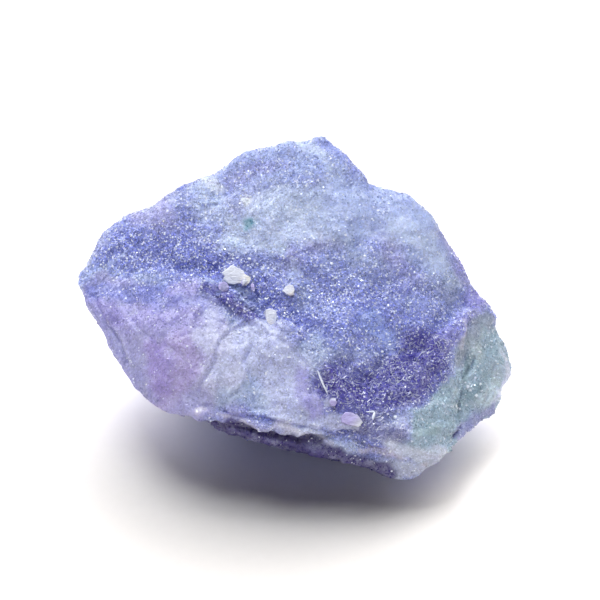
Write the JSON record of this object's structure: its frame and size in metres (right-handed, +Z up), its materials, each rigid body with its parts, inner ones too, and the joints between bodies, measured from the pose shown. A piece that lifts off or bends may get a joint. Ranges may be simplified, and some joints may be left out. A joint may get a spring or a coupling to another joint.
{
  "type": "rough angelite",
  "caption": "Rough broken lump of blue-violet sugary angelite with pale lobes, a teal end and white cleavage crystals, lying on a small flat.",
  "frame": {"origin": "bottom centre of the stone's box, on the surface that it lies on", "axes": "+X along the stone's length, +Y away from the foot of its sloping main face, +Z up"},
  "size_m": [0.0508, 0.0374, 0.0266],
  "materials": {
    "angelite": "sugary crystalline, glinting grains, slightly translucent"
  },
  "bodies": {
    "root": {"angelite": "angelite"}
  },
  "joints": []
}
